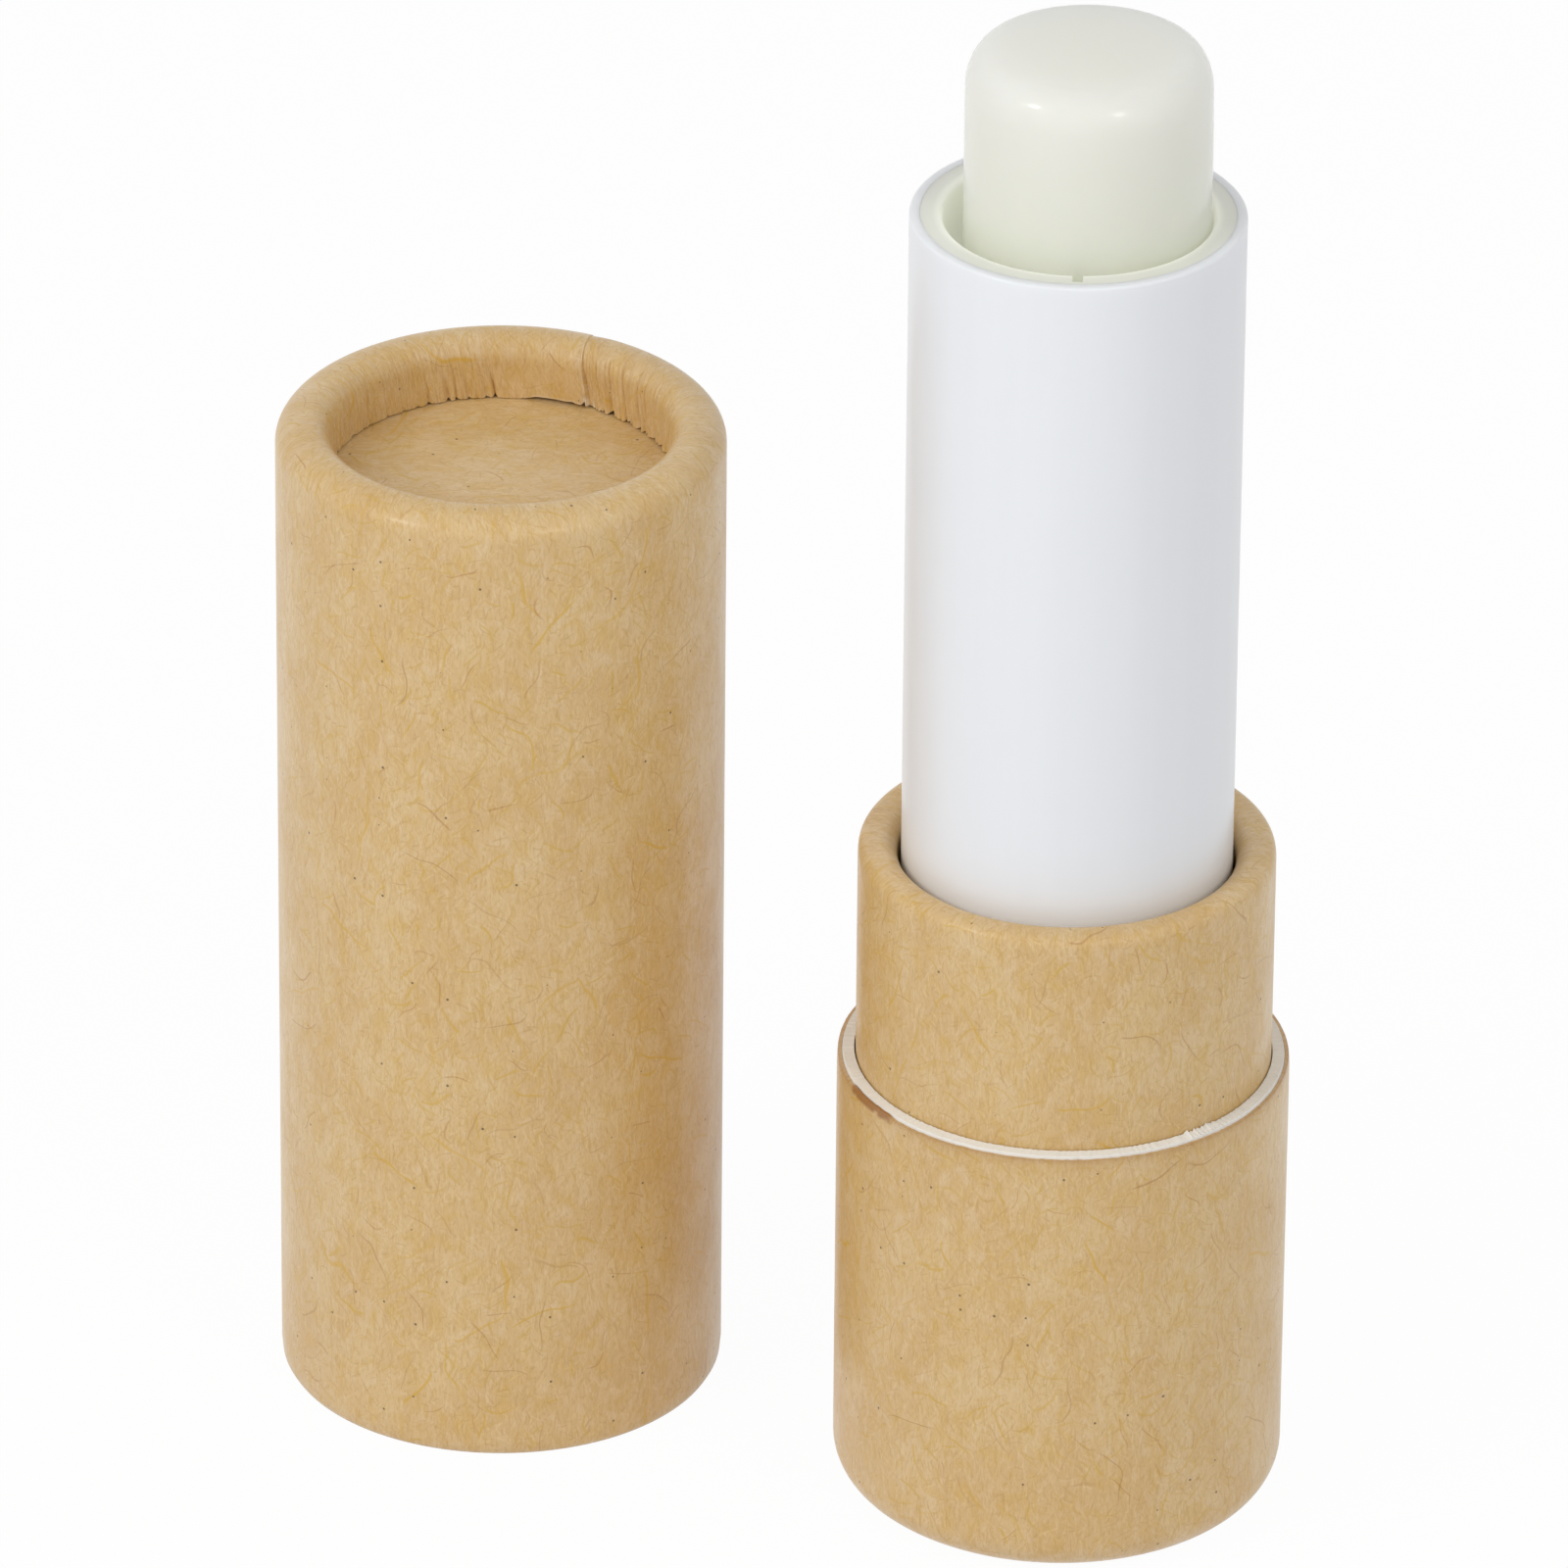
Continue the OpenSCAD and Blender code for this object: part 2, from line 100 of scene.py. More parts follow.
def rolled_wall(radius, mouth, top, rim, leg, thick, wall_steps=16, roll_steps=12, leg_steps=14):
    """Section of a paper layer with a rolled rim. The line runs up the wall, closer together near the
    mouth, round a quarter of an ellipse, over a flat crest, round a second quarter and down the leg;
    then back along the same line `thick` below the surface. rim["full"] makes the first quarter fuller:
    it is the power of the ellipse's sine and cosine. Gives columns: radius, height, length along the
    paper, fold (0 on the wall, 1 at the leg's end), face (1 on the side that shows), and the outward
    normal."""
    parts = []
    for depth, coarse in ((0, 1), (thick, 4)):
        up = np.linspace(0, 1, wall_steps // coarse) ** 2.5
        turn = np.linspace(0, np.pi / 2, roll_steps // coarse + 1)
        down = np.linspace(0, 1, leg_steps // coarse)
        shoulder = top - rim["high"]
        centre_out = radius - rim["out"]
        centre_in = centre_out - rim["flat"]
        inner = centre_in - rim["inn"]
        r = np.concatenate([
            np.full(up.size, radius - depth),
            centre_out + (rim["out"] - depth) * np.cos(turn[1:]).clip(0) ** rim.get("full", 1),
            centre_in - (rim["inn"] - depth) * np.sin(turn),
            np.full(down.size - 1, inner + depth)])
        z = np.concatenate([
            mouth + (shoulder - mouth) * up,
            shoulder + (rim["high"] - depth) * np.sin(turn[1:]) ** rim.get("full", 1),
            shoulder + (rim["high"] - depth) * np.cos(turn),
            shoulder + (leg - shoulder) * down[1:]])
        run = length_along(np.stack([r, z], axis=1))
        start = run[up.size - 1]
        fold = np.clip((run - start) / (run[-1] - start), 0, 1)
        dr, dz = np.gradient(r, run), np.gradient(z, run)
        size = np.hypot(dr, dz)
        face = np.full(r.size, 1.0 if depth == 0 else 0.0)
        part = np.stack([r, z, run, fold, face, dz / size, -dr / size], axis=1)
        parts.append(part if depth == 0 else part[::-1])
    return np.concatenate(parts).T[:, :, None]


def gathers(angle, fold, pitch, depth, seed, lean=0.0, sway=0.0, calm=None):
    """Depth of the folds of gathered paper, 0 on a fold's ridge and `depth` in a full crease. Creases
    lie `pitch` degrees apart at random, each starts at its own place on the roll and deepens to the
    end, and between two of them the paper bulges as (4f(1 - f))^0.6 over the fraction f of the way.
    They lean by up to `lean` degrees and snake by `sway` degrees; calm(degrees) scales their depth."""
    dice = np.random.default_rng(seed)
    steps = dice.uniform(0.35, 1.65, int(360 / pitch))
    places = np.cumsum(steps) / steps.sum() * 360
    deep = depth * dice.uniform(0.25, 1, places.size) ** 1.5
    if calm is not None:
        deep = deep * calm(places)
    start = dice.uniform(0.05, 0.6, places.size)
    shift = lean * fold * ripple(np.radians(angle), seed + 1, 9)
    shift = shift + sway * np.sin(11 * fold + 7 * ripple(np.radians(angle), seed + 2, 14))
    turned = np.mod(angle + shift, 360)
    after = np.searchsorted(places, turned) % places.size
    before = after - 1
    gap = np.mod(places[after] - places[before], 360)
    share = np.mod(turned - places[before], 360) / gap
    grown = [deep[k] * soft_step((fold - start[k]) / (1.05 - start[k])) for k in (before, after)]
    crease = grown[0] * (1 - share) + grown[1] * share
    return crease * (1 - (4 * share * (1 - share)) ** 0.6)


def ring_mesh(name, rings, sheet, loop=True, marks=None):
    """Closed skin over rings of points, in millimetres: rings[i, j] joins rings[i, j + 1] and
    rings[i + 1, j], and j runs round. With loop the last ring joins the first; without it the two end
    rings shrink to one point each. sheet[i, j] is the same point on the flat paper. marks are numbers
    from 0 to 1 for each point."""
    count, places = rings.shape[:2]
    index = np.arange(count * places).reshape(count, places)
    low = index if loop else index[:-1]
    high = np.roll(index, -1, axis=0) if loop else index[1:]
    quads = np.stack([low, np.roll(low, -1, 1), np.roll(high, -1, 1), high], axis=2)
    flat = np.stack([sheet[:-1, :-1], sheet[:-1, 1:], sheet[1:, 1:], sheet[1:, :-1]], axis=2)
    mesh = bpy.data.meshes.new(name)
    mesh.from_pydata((rings.reshape(-1, 3) * MM).tolist(), [], quads.reshape(-1, 4).tolist())
    mesh.uv_layers.new(name="sheet").data.foreach_set("uv", flat.reshape(-1).astype(np.float32))
    for key, values in (marks or {}).items():
        whole = np.broadcast_to(values, (count, places)).reshape(-1)
        mesh.attributes.new(key, "FLOAT", "POINT").data.foreach_set("value", whole.astype(np.float32))
    if not loop:
        close_poles(mesh)
    mesh.shade_smooth()
    mesh.set_sharp_from_angle(angle=math.radians(50))
    piece = bpy.data.objects.new(name, mesh)
    bpy.context.scene.collection.objects.link(piece)
    return piece


def close_poles(mesh):
    """Merges the points of a ring that has no size."""
    work = bmesh.new()
    work.from_mesh(mesh)
    bmesh.ops.remove_doubles(work, verts=work.verts, dist=1e-7)
    work.to_mesh(mesh)
    work.free()


def sheet_of(angles, run, radius, start):
    """Place of each point on the flat paper, in millimetres: arc length round the tube and length
    along it. The first place and the first ring are repeated, to close the skin; `edge` is the width
    of the cut edge between the last ring and the first. start moves each piece to its own place on
    the sheet, so that no two show the same fibres."""
    edge = 0.3
    round_ = np.radians(np.append(angles, angles[0] + 360)) * radius
    along = np.append(run, run[-1] + edge)
    return np.stack(np.broadcast_arrays(round_[None, :] + start[0], along[:, None] + start[1]), axis=-1)


def between(angle, ends, soft):
    """1 between two directions and 0 outside, with soft sides, in degrees."""
    middle = (ends[0] + ends[1]) / 2
    off = np.abs(np.mod(angle - middle + 180, 360) - 180)
    return soft_step((abs(ends[1] - ends[0]) / 2 - off) / soft + 0.5)


def upright(axis, angle, radius, height):
    """Points of rings round an upright axis."""
    around = np.radians(angle)
    return np.stack(np.broadcast_arrays(
        axis + radius * np.cos(around), radius * np.sin(around), height), axis=-1)


def linear(code):
    """Colour from an sRGB hex value such as #d2b688, as linear light."""
    parts = [int(code[i:i + 2], 16) / 255 for i in (1, 3, 5)]
    return [p / 12.92 if p <= 0.04045 else ((p + 0.055) / 1.055) ** 2.4 for p in parts] + [1.0]


def add(tree, kind, feeds=None, out=0, **settings):
    """Adds a node, sets it up and gives one of its outputs. A feed is a value or another output."""
    node = tree.nodes.new(kind)
    for key, value in settings.items():
        setattr(node, key, value)
    for key, value in (feeds or {}).items():
        if isinstance(value, bpy.types.NodeSocket):
            tree.links.new(value, node.inputs[key])
        else:
            node.inputs[key].default_value = value
    return node.outputs[out]


def finish_of(name, surface):
    """Material of the real name `name`; surface(tree) gives the feeds of its one shader."""
    made = bpy.data.materials.new(name)
    made.use_nodes = True
    tree = made.node_tree
    tree.nodes.clear()
    shader = add(tree, "ShaderNodeBsdfPrincipled", surface(tree))
    tree.links.new(shader, tree.nodes.new("ShaderNodeOutputMaterial").inputs["Surface"])
    return made


def loose_fibres(tree, sheet, cell, length, width, curl, spread, seed, share=1.0):
    """Mask of single fibres lying in paper, one in each cell of a Voronoi pattern `cell` mm wide. A
    fibre is the band |y - k x^2| < width/2, |x| < length/2 round the cell's point, turned by a random
    angle: within `spread` of the machine direction (1 is any way); k is random up to curl per mm.
    share is the part of the cells that hold a fibre. A slow noise bends the whole pattern by up to
    1.6 mm, so that no fibre is a plain arc."""
    moved = add(tree, "ShaderNodeVectorMath", {0: sheet, 1: (seed * 7.3, seed * 4.1, 0)},
                operation="ADD")
    wander = add(tree, "ShaderNodeTexNoise", {"Vector": moved, "Scale": 0.35, "Detail": 1.0},
                 out="Color", noise_dimensions="2D")
    bent = add(tree, "ShaderNodeVectorMath", {0: wander, 1: (1.6, 1.6, 0), 2: moved},
               operation="MULTIPLY_ADD")
    cells = add(tree, "ShaderNodeTexVoronoi", {"Vector": bent, "Scale": 1 / cell},
                out="Position", voronoi_dimensions="2D")
    dice = add(tree, "ShaderNodeSeparateColor", {0: cells.node.outputs["Color"]}).node.outputs
    off = add(tree, "ShaderNodeVectorMath", {0: bent, 1: cells}, operation="SUBTRACT")
    angle = add(tree, "ShaderNodeMapRange", {0: dice[0], 3: math.pi / 2 * (1 - spread),
                                             4: math.pi / 2 * (1 + spread)})
    lying = add(tree, "ShaderNodeVectorRotate", {"Vector": off, "Angle": angle},
                rotation_type="Z_AXIS", invert=True)
    x, y, _ = add(tree, "ShaderNodeSeparateXYZ", {0: lying}).node.outputs
    bend = add(tree, "ShaderNodeMapRange", {0: dice[1], 3: -curl, 4: curl})
    square = add(tree, "ShaderNodeMath", {0: x, 1: x}, operation="MULTIPLY")
    arch = add(tree, "ShaderNodeMath", {0: square, 1: bend}, operation="MULTIPLY")
    side = add(tree, "ShaderNodeMath", {0: y, 1: arch}, operation="SUBTRACT")
    near = add(tree, "ShaderNodeMath", {0: side}, operation="ABSOLUTE")
    far = add(tree, "ShaderNodeMath", {0: x}, operation="ABSOLUTE")
    body = add(tree, "ShaderNodeMapRange", {0: near, 1: width * 0.2, 2: width * 0.75, 3: 1.0, 4: 0.0},
               interpolation_type="SMOOTHSTEP")
    ends = add(tree, "ShaderNodeMapRange", {0: far, 1: length * 0.25, 2: length * 0.5, 3: 1.0, 4: 0.0},
               interpolation_type="SMOOTHSTEP")
    there = add(tree, "ShaderNodeMapRange", {0: dice[2], 1: 1 - share, 2: 1.0, 3: 0.0, 4: 1.0})
    whole = add(tree, "ShaderNodeMath", {0: body, 1: ends}, operation="MULTIPLY")
    return add(tree, "ShaderNodeMath", {0: whole, 1: there}, operation="MULTIPLY")


def tinted(tree, ground, mask, strength, code):
    """Lays a colour over the ground where the mask is, up to `strength`."""
    amount = add(tree, "ShaderNodeMath", {0: mask, 1: strength}, operation="MULTIPLY", use_clamp=True)
    return add(tree, "ShaderNodeMix", {0: amount, 6: ground, 7: linear(code)}, out=2, data_type="RGBA")


def stained(tree, ground, pattern, low, high, strength, code):
    """Lays a colour over the ground where a pattern passes from low, none, to high, `strength`."""
    mask = add(tree, "ShaderNodeMapRange", {0: pattern, 1: low, 2: high, 3: 0.0, 4: 1.0},
               interpolation_type="SMOOTHSTEP")
    return tinted(tree, ground, mask, strength, code)


def kraft_surface(tree):
    """Unbleached kraft: softwood fibres of 1 to 5 mm lie mostly along the machine direction, some
    yellow and some brown, with specks of bark. Real fibres are 0.03 to 0.05 mm thick; they are drawn
    at 0.07 to 0.13 mm, to show. The paper is calendered, which the thin coat stands for."""
    sheet = add(tree, "ShaderNodeUVMap", uv_map="sheet")
    fold = add(tree, "ShaderNodeAttribute", out="Fac", attribute_name="fold")
    worn = add(tree, "ShaderNodeAttribute", out="Fac", attribute_name="worn")
    bare = add(tree, "ShaderNodeAttribute", out="Fac", attribute_name="bare")

    def grain(size, stretch, detail, turbulence=0.0, seed=0.0):
        """Cloud pattern with clouds `size` mm wide and `stretch` times as long."""
        place = add(tree, "ShaderNodeMapping", {"Vector": sheet, "Location": (seed, -seed, 0),
                                                "Scale": (1 / size, 1 / (size * stretch), 1)})
        return add(tree, "ShaderNodeTexNoise", {"Vector": place, "Scale": 1.0, "Detail": detail,
                                                "Distortion": turbulence}, noise_dimensions="2D")

    clouds = grain(3.4, 1.6, 3.0)
    blotches = grain(0.9, 1.6, 3.0, 0.6, 31)
    wool = grain(0.15, 4.5, 2.0, 1.2, 11)
    fluff = grain(0.3, 2.0, 3.0, 2.0, 47)
    radial = grain(0.13, 14.0, 2.0, 0.6, 91)

    ground = stained(tree, linear("#dabb88"), clouds, 0.3, 0.7, 1.0, "#d4b17b")
    ground = stained(tree, ground, blotches, 0.46, 0.74, 0.42, "#d3aa55")
    ground = stained(tree, ground, blotches, 0.48, 0.26, 0.42, "#dfc49c")
    ground = stained(tree, ground, wool, 0.48, 0.78, 0.42, "#be9650")
    ground = stained(tree, ground, wool, 0.5, 0.24, 0.3, "#e6cd9d")
    ground = stained(tree, ground, fluff, 0.5, 0.75, 0.34, "#cba050")

    # cell, length, width, curl, spread, seed and share of each kind, then its strength and colour
    yellow = loose_fibres(tree, sheet, 1.6, 1.9, 0.11, 0.4, 0.9, 3, 0.7)
    threads = [
        (loose_fibres(tree, sheet, 0.45, 0.7, 0.07, 0.9, 0.9, 1), 0.32, "#b3843a"),
        (loose_fibres(tree, sheet, 0.6, 0.9, 0.08, 0.6, 0.7, 2), 0.28, "#ead2a0"),
        (loose_fibres(tree, sheet, 0.9, 1.3, 0.1, 0.6, 0.8, 7, 0.8), 0.5, "#cba33a"),
        (yellow, 0.65, "#cfa532"),
        (loose_fibres(tree, sheet, 3.6, 4.2, 0.13, 0.16, 0.8, 4, 0.5), 0.7, "#d2a52e"),
        (loose_fibres(tree, sheet, 1.6, 1.7, 0.07, 0.5, 1.0, 5, 0.4), 0.5, "#b0742c"),
        (loose_fibres(tree, sheet, 3.1, 3.6, 0.08, 0.22, 1.0, 6, 0.4), 0.5, "#a66f2e"),
    ]
    for mask, strength, code in threads:
        ground = tinted(tree, ground, mask, strength, code)

    bark = add(tree, "ShaderNodeTexVoronoi", {"Vector": sheet, "Scale": 1 / BARK_APART},
               voronoi_dimensions="2D")
    dice = add(tree, "ShaderNodeSeparateColor", {0: bark.node.outputs["Color"]})
    size = add(tree, "ShaderNodeMapRange", {0: dice, 1: 0.66, 2: 1.0, 3: 0.0, 4: BARK_SIZE / BARK_APART},
               interpolation_type="SMOOTHSTEP")
    inside = add(tree, "ShaderNodeMath", {0: size, 1: bark}, operation="SUBTRACT")
    ground = stained(tree, ground, inside, 0.0, 0.03 / BARK_APART, 0.8, "#50381c")

    # On a rolled rim the fibres show as lines across the fold, with painted shade; the cut edge is worn
    # or laid bare.
    streaks = add(tree, "ShaderNodeMapRange", {0: radial, 1: 0.5, 2: 0.75, 3: 0.0, 4: 1.0},
                  interpolation_type="SMOOTHSTEP")
    # the lines grow with fold towards the leg's end: partly fibre lines, partly painted shade deepening
    # into the recess
    lines = add(tree, "ShaderNodeMath", {0: streaks, 1: fold}, operation="MULTIPLY")
    ground = tinted(tree, ground, lines, 0.4, "#b88c48")
    ground = tinted(tree, ground, worn, 0.85, "#92591b")
    ground = tinted(tree, ground, bare, 0.9, "#eadfca")

    burnish = add(tree, "ShaderNodeMapRange", {0: clouds, 1: 0.2, 2: 0.8, 3: 0.38, 4: 0.48},
                  interpolation_type="SMOOTHSTEP")
    rough = add(tree, "ShaderNodeMath", {0: fold, 1: -0.04, 2: burnish}, operation="MULTIPLY_ADD")
    lift = add(tree, "ShaderNodeMath", {0: yellow, 1: 0.8, 2: wool}, operation="MULTIPLY_ADD")
    rim_lift = add(tree, "ShaderNodeMath", {0: radial, 1: fold}, operation="MULTIPLY")
    lift = add(tree, "ShaderNodeMath", {0: rim_lift, 1: 3.0, 2: lift}, operation="MULTIPLY_ADD")
    relief = add(tree, "ShaderNodeBump", {"Strength": 0.5, "Distance": 0.02 * MM, "Height": lift})
    return {"Base Color": ground, "Roughness": rough, "Normal": relief, "IOR": 1.5,
            "Coat Weight": 0.3, "Coat Roughness": 0.19}


kraft = finish_of("unbleached kraft paper", kraft_surface)

# The sleeve is worked out upside down, with its mouth at -base_top, and turned over in the mesh.
_, base_r, _, base_top = span("base_wrap")
angles = BASE_SEAM + np.arange(PLACES) * 360 / PLACES
r, z, run, fold, face, nr, nz = rolled_wall(
    base_r, -base_top, 0, FOOT_RIM, -FOOT_RECESS, KRAFT_T, wall_steps=28)
from_mouth = base_top + z
edge = np.exp(-from_mouth / BASE_EDGE_REACH)
burnished = between(angles, BURNISHED, 4)
nicks = 0.5 + 0.5 * ripple(np.radians(angles), 5, 160, 0.2)
rubbed = burnished * soft_step((BURNISHED_HIGH + 0.14 * nicks - from_mouth) / 0.1)
worn = np.maximum(edge * (0.3 + 0.15 * face), rubbed)
z = z + edge * (BASE_EDGE_DROP + 0.05 * nicks - BURNISHED_RISE * burnished)
r = r - face * edge * BASE_EDGE_IN * (1 + burnished)
creases = gathers(angles, fold, *FOOT_FOLDS, 21, lean=1.2)
waves = WALL_WAVE * (1 + ripple(np.radians(angles), 8, 7) * (1 - fold))
r = r - face * nr * (creases + waves)
z = z - face * nz * creases
base_wrap = ring_mesh(
    "base_wrap_skin",
    upright(0, angles, r, -z)[::-1],
    sheet_of(angles, run[::-1, 0], base_r, (0, 0)),
    marks={"fold": fold[::-1], "worn": worn[::-1], "bare": 0 * fold})
base_wrap.data.materials.append(kraft)
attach(base_wrap, "base")
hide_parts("base_wrap")

# Base sleeve: board
# Tube of white recycled board under the kraft skin. Its cut end shows as a white ring above the
# kraft's edge; the knife has left it slightly ragged, with a torn tuft on its inner side.

BOARD_T = 0.6
FRAYED = (-34, -24)     # where the tuft is, in degrees
TUFT_HIGH = 0.2
BOARD_EDGE_REACH = 0.12     # how far down the board the cut shows


def board_surface(tree):
    """White-lined board: bleached pulp, matt, with soft fibres of 0.4 mm and a faint grey mottling."""
    place = add(tree, "ShaderNodeTexCoord", out="Object")
    pulp = add(tree, "ShaderNodeTexNoise", {"Vector": place, "Scale": 2.6 / MM, "Detail": 4.0,
                                            "Roughness": 0.65})
    cloud = add(tree, "ShaderNodeTexNoise", {"Vector": place, "Scale": 0.42 / MM, "Detail": 2.0})
    ground = add(tree, "ShaderNodeMix", {0: cloud, 6: linear("#f7f6f1"), 7: linear("#efece5")},
                 out=2, data_type="RGBA")
    dark = add(tree, "ShaderNodeMapRange", {0: pulp, 1: 0.55, 2: 0.8, 3: 0.0, 4: 0.36})
    ground = tinted(tree, ground, dark, 1.0, "#c4bba6")
    relief = add(tree, "ShaderNodeBump", {"Strength": 0.6, "Distance": 0.03 * MM, "Height": pulp})
    return {"Base Color": ground, "Roughness": 0.9, "Normal": relief, "Specular IOR Level": 0.25}


board = finish_of("white lined board", board_surface)


def under_skin(rim):
    """Rim of the board that lies under a skin rolled over the rim given."""
    return dict(rim, out=rim["out"] - KRAFT_T, inn=rim["inn"] - KRAFT_T, high=rim["high"] - KRAFT_T)


r, z, run, _, face, _, _ = rolled_wall(
    base_r - KRAFT_T, -base_top, -KRAFT_T, under_skin(FOOT_RIM), -FOOT_RECESS, BOARD_T)
ragged = ripple(np.radians(angles), 15, 300, 0.1)
shred = between(angles, FRAYED, 4) * np.clip(ripple(np.radians(angles), 19, 560, 0.0) * 2.5, 0, 1)
edge = np.exp(-(base_top + z) / BOARD_EDGE_REACH)
z = z + edge * (0.03 + 0.03 * ragged) - (1 - face) * edge * TUFT_HIGH * shred
r = r - face * edge * 0.06
base_tube = ring_mesh(
    "base_tube_board",
    upright(0, angles, r, -z)[::-1],
    sheet_of(angles, run[::-1, 0], base_r, (0, 0)))
base_tube.data.materials.append(board)
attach(base_tube, "base")
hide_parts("base_tube")

# Base sleeve: bottom disc
# A disc of board faced with kraft closes the foot. It is punched out flat and glued in before the
# foot is rolled over it, so it cups by a few hundredths of a millimetre.

DISC_DIP = 0.06
DISC_WAVE = 0.02


def paper_disc(name, node, grain_to, start, side):
    """Disc in place of a CAD disc: rings from the middle of the face that shows, out, over the edge and
    back to the middle. The face that shows is the upper one where side is 1 and the lower where it
    is -1. It dips by DISC_DIP (1 - q^2) at the fraction q of the radius, with soft waves. The flat
    paper's machine direction points towards grain_to, in degrees."""
    axis, size, low, high = span(node)
    round_ = np.arange(360.0)
    shown = np.linspace(0, 1, 40)
    q = np.concatenate([shown, np.linspace(1, 0, 12)])[:, None]
    dip = DISC_DIP * (1 - q ** 2) + DISC_WAVE * q * ripple(np.radians(round_), 33, 5) * (1 - q)
    front, back = (high, low) if side > 0 else (low, high)
    height = np.where(np.arange(q.size)[:, None] < shown.size, front - side * np.abs(dip), back)
    rings = upright(axis, round_, q * size, height)
    if side < 0:
        rings = rings[::-1]
    turn = math.radians(grain_to)
    x, y = rings[..., 0] - axis, rings[..., 1]
    across = x * math.sin(turn) - y * math.cos(turn)
    along = x * math.cos(turn) + y * math.sin(turn)
    flat = np.stack([across, along], axis=-1)
    flat = np.concatenate([flat, flat[:, :1]], axis=1) + start
    return ring_mesh(name, rings[::-1], flat[::-1], loop=False,
                     marks={"fold": 0 * q, "worn": 0 * q, "bare": 0 * q})


base_disc_face = paper_disc("base_disc_kraft", "base_disc_face", 40, (310, 20), -1)
base_disc_face.data.materials.append(kraft)
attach(base_disc_face, "base")
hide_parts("base_disc_face")
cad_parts["base_disc_board"].data.materials[0] = board

# Neck
# The inner tube, kraft over board, stands out of the base sleeve and guides the cap. Its upper rim is
# rolled inwards tightly round the barrel, so its folds are much finer than those of the foot.

NECK_RIM = dict(out=0.925, flat=0.1, inn=0.925, high=0.925, full=0.62)
NECK_TUCK = 1.5         # how far the turned-in end reaches down below the rounding
NECK_SEAM = 74          # direction of the glued seam, in degrees
NECK_FOLDS = (2.1, 0.045)   # pitch in degrees and depth of its folds
NECK_LUMPS = 0.03       # depth of the soft hollows in its rim

_, neck_r, neck_foot, neck_top = span("neck_wrap")
angles = NECK_SEAM + np.arange(PLACES) * 360 / PLACES
leg = neck_top - NECK_RIM["high"] - NECK_TUCK
r, z, run, fold, face, nr, nz = rolled_wall(neck_r, neck_foot, neck_top, NECK_RIM, leg, KRAFT_T)
creases = gathers(angles, fold, *NECK_FOLDS, 41, lean=0.6)
lumps = NECK_LUMPS * (0.5 + 0.5 * ripple(np.radians(angles), 44, 24, 0.6)) * soft_step(fold / 0.4)
waves = (0.012 + 0.012 * ripple(np.radians(angles), 43, 6)) * (1 - fold)
r = r - face * nr * (creases + lumps + waves)
z = z - face * nz * (creases + lumps)
neck_wrap = ring_mesh(
    "neck_wrap_skin", upright(0, angles, r, z), sheet_of(angles, run[:, 0], neck_r, (120, 60)),
    marks={"fold": 0.6 * fold, "worn": 0 * fold, "bare": 0 * fold})
neck_wrap.data.materials.append(kraft)
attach(neck_wrap, "base")
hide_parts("neck_wrap")
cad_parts["neck_tube"].data.materials[0] = board

# Insert, drive wheel, lead screw and carriage
# The insert is glued into the neck, the wheel snaps into the barrel's floor and locks on the insert's
# splines, and the left-hand screw pressed into the wheel drives the carriage. All four are moulded in
# uncoloured white polypropylene, with a fine spark-eroded grain.


def moulded_surface(tree):
    """Matt white polypropylene from an eroded mould: even colour, grain of about 0.1 mm."""
    place = add(tree, "ShaderNodeTexCoord", out="Object")
    grit = add(tree, "ShaderNodeTexNoise", {"Vector": place, "Scale": 9 / MM, "Detail": 1.0})
    cloud = add(tree, "ShaderNodeTexNoise", {"Vector": place, "Scale": 0.16 / MM, "Detail": 1.0})
    ground = add(tree, "ShaderNodeMix", {0: cloud, 6: linear("#e9eaea"), 7: linear("#dfe1e1")},
                 out=2, data_type="RGBA")
    relief = add(tree, "ShaderNodeBump", {"Strength": 0.3, "Distance": 0.01 * MM, "Height": grit})
    return {"Base Color": ground, "Roughness": 0.5, "IOR": 1.49, "Normal": relief}


moulded = finish_of("moulded white polypropylene", moulded_surface)
for node in ("base_insert", "drive_wheel", "lead_screw", "carriage"):
    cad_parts[node].data.materials[0] = moulded

# Barrel
# Outer tube of the twist mechanism, injection moulded in opaque white polypropylene in a polished
# mould. It turns in the neck, and a snap edge in its floor holds it on the drive wheel.

BARREL_WALL = 0.5
BARREL_EDGE = 0.15      # rounding of the outer edges; the others are sharp
BARREL_FLOOR = 1.0      # thickness of the floor
BARREL_EYE = 3.15       # radius of the hole in the floor


def gloss_surface(tree):
    """Polished white polypropylene: clean and slightly cool, with faint flow lines 1 mm apart along the
    barrel and a soft unevenness of 3 mm."""
    place = add(tree, "ShaderNodeTexCoord", out="Object")
    flow = add(tree, "ShaderNodeMapping", {"Vector": place, "Scale": (0.9 / MM, 0.9 / MM, 0.025 / MM)})
    lines = add(tree, "ShaderNodeTexNoise", {"Vector": flow, "Scale": 1.0, "Detail": 2.0})
    ground = add(tree, "ShaderNodeMix", {0: lines, 6: linear("#f4f7fd"), 7: linear("#f1f4fb")},
                 out=2, data_type="RGBA")
    peel = add(tree, "ShaderNodeTexNoise", {"Vector": place, "Scale": 0.35 / MM, "Detail": 1.0})
    relief = add(tree, "ShaderNodeBump", {"Strength": 0.12, "Distance": 0.05 * MM, "Height": peel})
    return {"Base Color": ground, "Roughness": 0.3, "IOR": 1.49, "Normal": relief,
            "Subsurface Weight": 0.4, "Subsurface Scale": MM,
            "Subsurface Radius": (0.8, 0.8, 0.8)}


gloss = finish_of("polished white polypropylene", gloss_surface)


